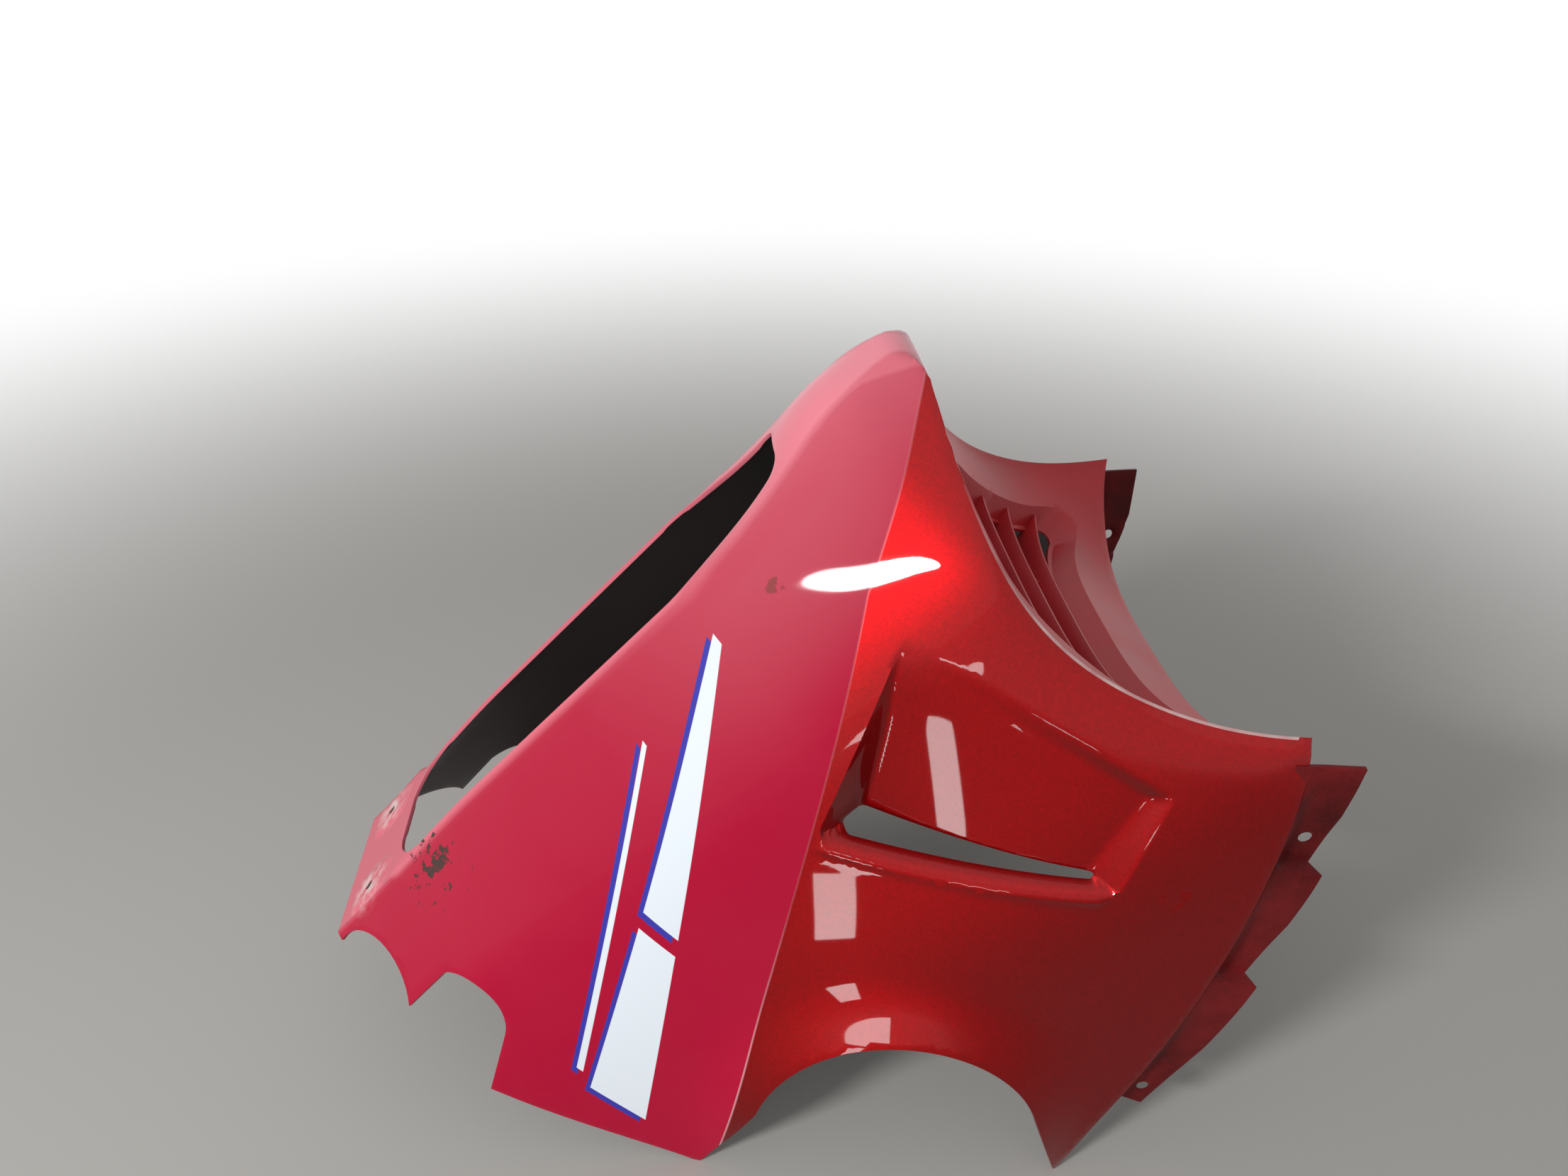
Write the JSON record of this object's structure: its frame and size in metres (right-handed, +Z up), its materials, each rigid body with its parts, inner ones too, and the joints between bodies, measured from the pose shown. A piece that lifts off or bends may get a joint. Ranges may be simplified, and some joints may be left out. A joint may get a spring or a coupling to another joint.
{
  "type": "motorcycle lower fairing",
  "caption": "One-piece belly fairing: a thin faceted shell with a hollow slatted front, a slot along the keel, side vents, flared arches and mounting tabs.",
  "frame": {"origin": "on the floor under the middle of the part's box, as it stands on the corners of its side panels", "axes": "+Z up; +X towards the open top rim and the front tabs, along the longest extent; +Y towards the far side panel, across the part"},
  "size_m": [0.6698, 0.4294, 0.5648],
  "materials": {
    "painted_plastic": "red paint with a clear coat over black plastic"
  },
  "bodies": {
    "root": {"fairing_shell": "painted_plastic"}
  },
  "joints": []
}
